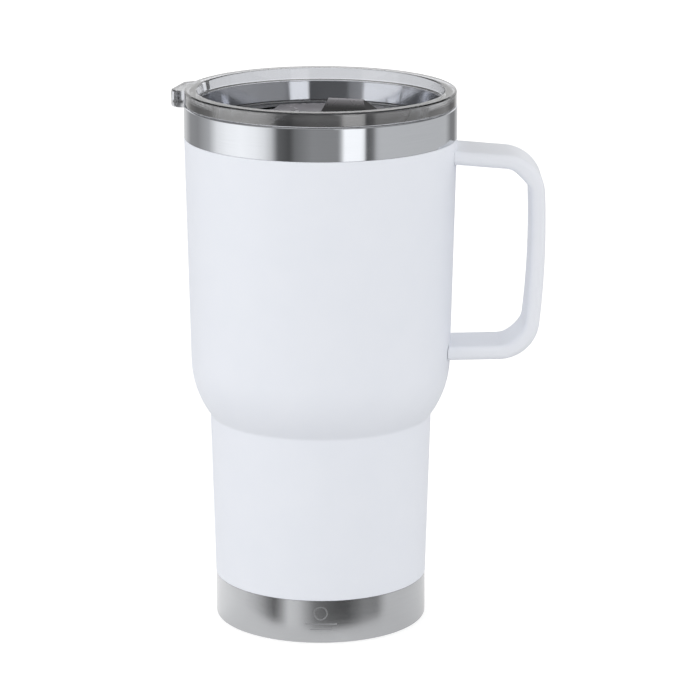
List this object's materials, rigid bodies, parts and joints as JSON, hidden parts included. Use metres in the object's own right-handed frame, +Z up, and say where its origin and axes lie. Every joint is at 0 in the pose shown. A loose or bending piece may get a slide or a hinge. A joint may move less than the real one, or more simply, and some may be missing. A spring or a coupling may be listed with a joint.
{
  "type": "insulated travel mug",
  "caption": "Double-walled steel travel mug with a stepped white coated body, side handle, clear push-in lid and turning closure.",
  "frame": {"origin": "on the cup's axis, in the plane of the foot ring's underside", "axes": "+Z up along the cup's axis, +X to the handle, the lid's pull tab close to -X"},
  "size_m": [0.1378, 0.1006, 0.201],
  "materials": {
    "bare_steel": "polished to satin",
    "liner_steel": "satin",
    "white_coating": "fine powder coating, low gloss",
    "white_moulding": "satin",
    "clear_plastic": "clear, polished",
    "smoke_plastic": "smoke-grey, polished",
    "silicone": "soft matt",
    "grey_alloy": "dull"
  },
  "bodies": {
    "cup": {"outer_shell": "bare_steel", "powder_coat": "white_coating", "inner_liner": "liner_steel", "vacuum_base": "liner_steel", "port_seal": "grey_alloy", "getter_holder": "liner_steel", "getter": "grey_alloy", "base_cover": "bare_steel", "handle": "white_moulding", "handle_bracket_upper": "liner_steel", "handle_bracket_lower": "liner_steel", "handle_screw_upper": "liner_steel", "handle_screw_lower": "liner_steel"},
    "seal": {"lid_gasket": "silicone"},
    "lid": {"lid_body": "clear_plastic"},
    "closure": {"closure_disc": "smoke_plastic", "closure_seal": "silicone", "closure_pivot": "smoke_plastic", "pivot_o_ring": "silicone"}
  },
  "joints": [
    {"name": "lid_lift", "type": "slide", "parent": "cup", "child": "seal", "axis": [0, 0, 1], "range_m": [0, 0.06]},
    {"name": "lid_turn", "type": "hinge", "parent": "seal", "child": "lid", "pos_m": [0, 0, 0.1908], "axis": [0, 0, 1], "continuous": true},
    {"name": "closure_turn", "type": "hinge", "parent": "lid", "child": "closure", "pos_m": [0, 0, 0.1878], "axis": [0, 0, 1], "range_deg": [0, 180]}
  ]
}
